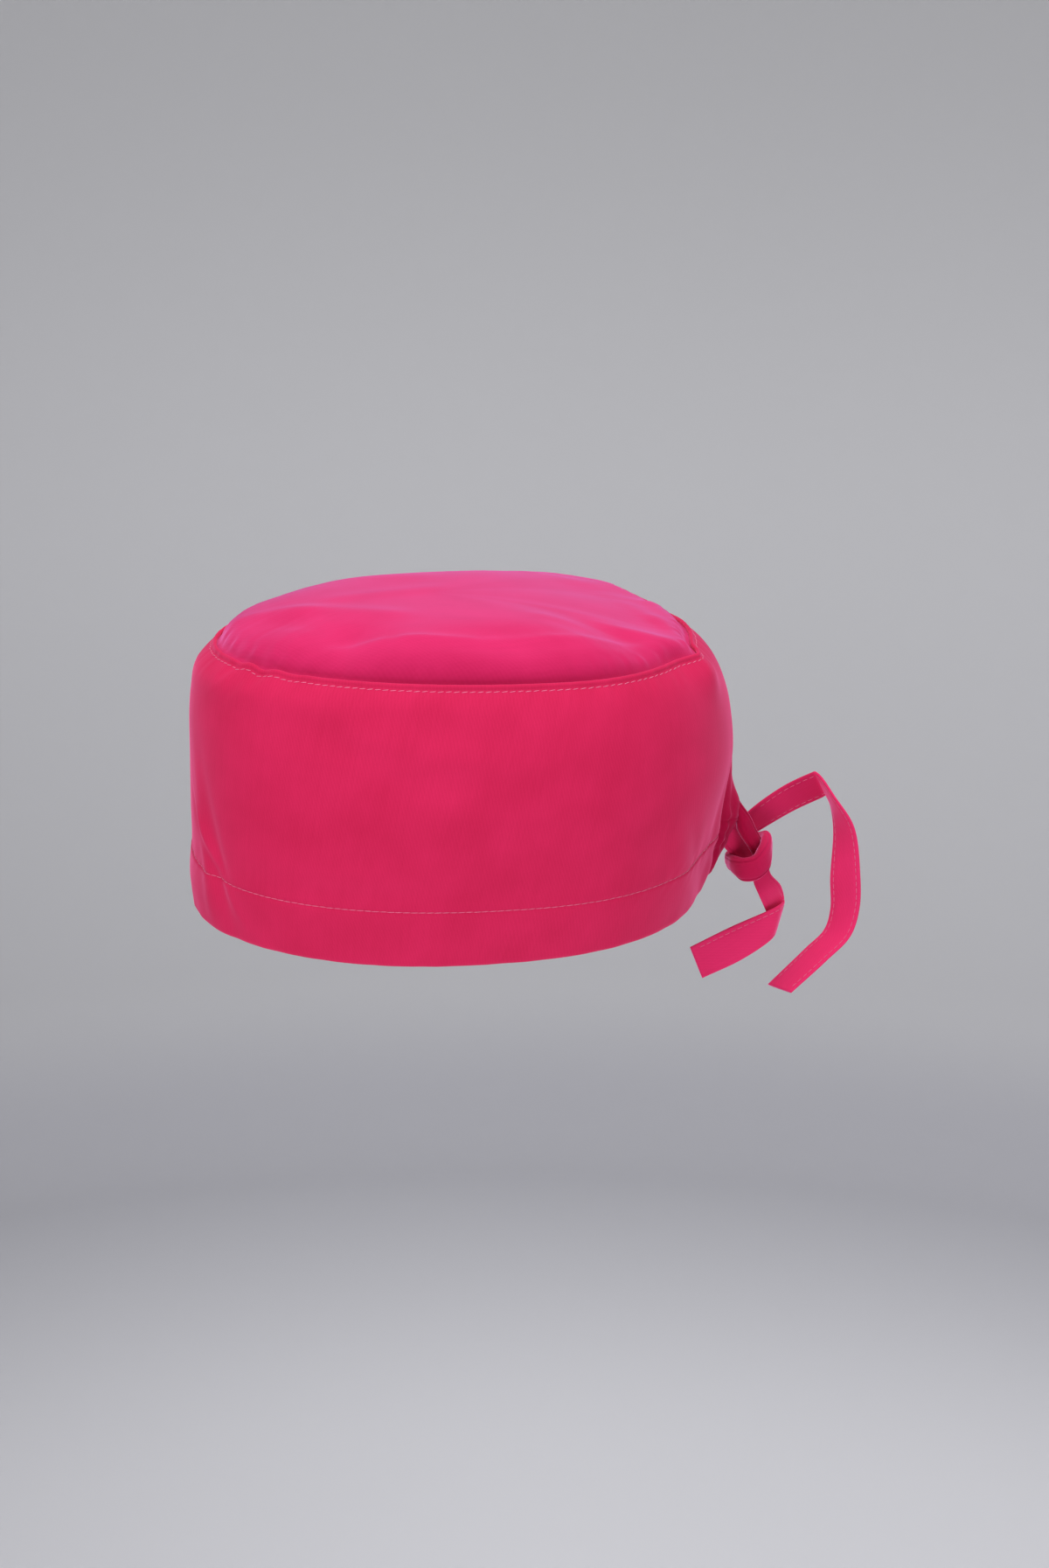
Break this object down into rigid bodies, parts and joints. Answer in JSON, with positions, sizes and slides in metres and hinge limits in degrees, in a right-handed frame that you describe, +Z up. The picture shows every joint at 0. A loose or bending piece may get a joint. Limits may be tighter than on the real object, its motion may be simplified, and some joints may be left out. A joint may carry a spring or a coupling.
{
  "type": "scrub cap",
  "caption": "Domed cloth scrub cap for the operating room, with a wide side band, a turned hem and cloth ties knotted at the back of the head, ends hanging.",
  "frame": {"origin": "middle of the head opening, level with the hem edge, where the cap sits on a head", "axes": "+Z up through the crown, -Y towards the forehead, +Y towards the knot at the back, +X towards the wearer's left side"},
  "size_m": [0.1792, 0.2819, 0.1809],
  "materials": {
    "band_twill": "matt polyester-cotton twill, crimson pink",
    "panel_twill": "matt polyester-cotton twill, hot pink",
    "tie_twill": "folded and stitched polyester-cotton twill"
  },
  "bodies": {
    "root": {"side_band": "band_twill", "top_panel": "panel_twill", "tie_near": "tie_twill", "tie_far": "tie_twill"}
  },
  "joints": []
}
